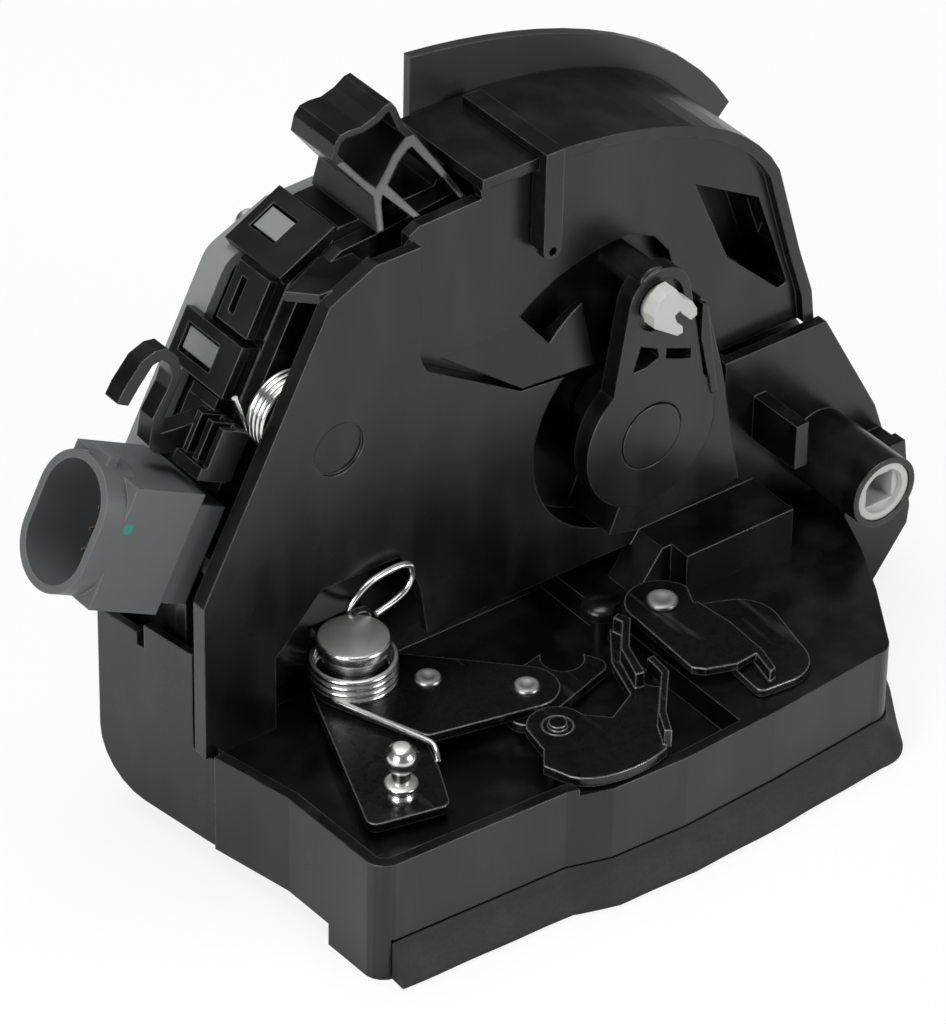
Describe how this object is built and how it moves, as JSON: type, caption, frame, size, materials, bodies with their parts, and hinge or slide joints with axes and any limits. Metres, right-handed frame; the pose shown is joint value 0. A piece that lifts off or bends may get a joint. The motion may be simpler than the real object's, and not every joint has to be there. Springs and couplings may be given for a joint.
{
  "type": "car door lock",
  "caption": "Car door latch with release levers, lock lever with rod clip, key drive tube and plug, in one black moulded housing",
  "frame": {"origin": "on the latch face, in the middle of the striker mouth's width, at the striker's entry line", "axes": "+Z out of the latch face into the lock, +X along the lever side towards the key tube, -Y towards the lever side's front"},
  "size_m": [0.1933, 0.0927, 0.1426],
  "materials": {
    "black_plastic": "black moulded plastic with a fine grain",
    "black_gloss": "smoother black plastic of the lever and caps",
    "grey_plastic": "mid grey moulded plastic",
    "plug_plastic": "black plastic of the plug socket",
    "contact_metal": "tinned brass contacts",
    "board": "green circuit board",
    "switch_plastic": "dark plastic of the switches",
    "seal_rubber": "soft black rubber",
    "coated_steel": "black coated sheet steel, dusty sheen",
    "plated_steel": "zinc plated steel",
    "bright_steel": "bright turned steel",
    "spring_steel": "drawn spring wire",
    "white_plastic": "white plastic",
    "gear_plastic": "natural acetal plastic"
  },
  "bodies": {
    "housing": {"main_housing": "black_plastic", "latch_housing": "black_plastic", "upper_cover": "black_plastic", "rear_housing": "black_plastic", "left_cover": "black_plastic", "electronics_cover": "grey_plastic", "connector_socket": "plug_plastic", "connector_pins": "contact_metal", "circuit_board": "board", "microswitches": "switch_plastic", "top_shield": "black_plastic", "strap_clip": "black_plastic", "guide_bracket": "black_plastic", "cable_hook": "black_plastic", "face_plate": "plated_steel", "back_plate": "plated_steel", "claw_pin": "bright_steel", "claw_spring": "spring_steel", "pawl_spring": "spring_steel", "seal_strip": "seal_rubber", "lever_post": "bright_steel", "lever_spring": "spring_steel", "outside_rivet": "bright_steel", "guide_button": "black_gloss", "lock_pivot": "black_gloss", "return_spring": "spring_steel", "drive_motor": "plated_steel", "wheel_pin": "bright_steel", "cover_screws": "bright_steel"},
    "claw": {"claw": "plated_steel", "claw_cover": "black_gloss"},
    "pawl": {"pawl": "plated_steel", "pawl_shaft": "coated_steel", "release_lever": "coated_steel"},
    "inside_lever": {"inside_lever": "coated_steel", "ball_stud": "bright_steel"},
    "transfer_lever": {"transfer_lever": "coated_steel", "hook_plate": "coated_steel", "lever_rivets": "bright_steel"},
    "outside_lever": {"outside_lever": "coated_steel"},
    "lock_lever": {"lock_lever": "black_gloss"},
    "rod_clip": {"rod_clip": "white_plastic"},
    "cylinder_spindle": {"cylinder_spindle": "white_plastic"},
    "worm": {"worm": "gear_plastic"},
    "worm_wheel": {"worm_wheel": "gear_plastic"}
  },
  "joints": [
    {"name": "claw_turn", "type": "hinge", "parent": "housing", "child": "claw", "pos_m": [-0.019, 0.002, 0.0056], "axis": [0, 0, 1], "range_deg": [-55, 0], "stiffness_Nm_per_rad": 0.05},
    {"name": "pawl_turn", "type": "hinge", "parent": "housing", "child": "pawl", "pos_m": [-0.0079, -0.025, 0.015], "axis": [0, 0, 1], "range_deg": [0, 12]},
    {"name": "inside_lever_turn", "type": "hinge", "parent": "housing", "child": "inside_lever", "pos_m": [-0.0278, 0.0124, 0.0225], "axis": [0, 0, 1], "range_deg": [0, 20], "stiffness_Nm_per_rad": 0.1, "deforming": ["lever_spring"]},
    {"name": "transfer_lever_turn", "type": "hinge", "parent": "housing", "child": "transfer_lever", "pos_m": [-0.0278, 0.0124, 0.0248], "axis": [0, 0, 1], "range_deg": [0, 12]},
    {"name": "outside_lever_turn", "type": "hinge", "parent": "housing", "child": "outside_lever", "pos_m": [0.0304, -0.0084, 0.027], "axis": [0, 0, 1], "range_deg": [0, 15], "stiffness_Nm_per_rad": 0.05},
    {"name": "lock_lever_turn", "type": "hinge", "parent": "housing", "child": "lock_lever", "pos_m": [0.0344, 0.0036, 0.0618], "axis": [0, -1, 0], "range_deg": [0, 25]},
    {"name": "rod_clip_turn", "type": "hinge", "parent": "lock_lever", "child": "rod_clip", "pos_m": [0.0352, 0.002, 0.0915], "axis": [0, -1, 0], "range_deg": [-30, 30]},
    {"name": "key_drive_turn", "type": "hinge", "parent": "housing", "child": "cylinder_spindle", "pos_m": [0.0823, 0, 0.0365], "axis": [0, 1, 0], "range_deg": [-90, 90]},
    {"name": "worm_wheel_turn", "type": "hinge", "parent": "housing", "child": "worm_wheel", "pos_m": [-0.005, 0.031, 0.0793], "axis": [0, 1, 0], "range_deg": [-40, 40]},
    {"name": "worm_turn", "type": "hinge", "parent": "housing", "child": "worm", "pos_m": [-0.005, 0.031, 0.062], "axis": [1, 0, 0], "range_deg": [-1200, 1200]}
  ],
  "couplings": [
    {"joint": "pawl_turn", "follows": "inside_lever_turn", "ratio": 0.6},
    {"joint": "transfer_lever_turn", "follows": "inside_lever_turn", "ratio": 0.6},
    {"joint": "worm_turn", "follows": "worm_wheel_turn", "ratio": 30}
  ]
}
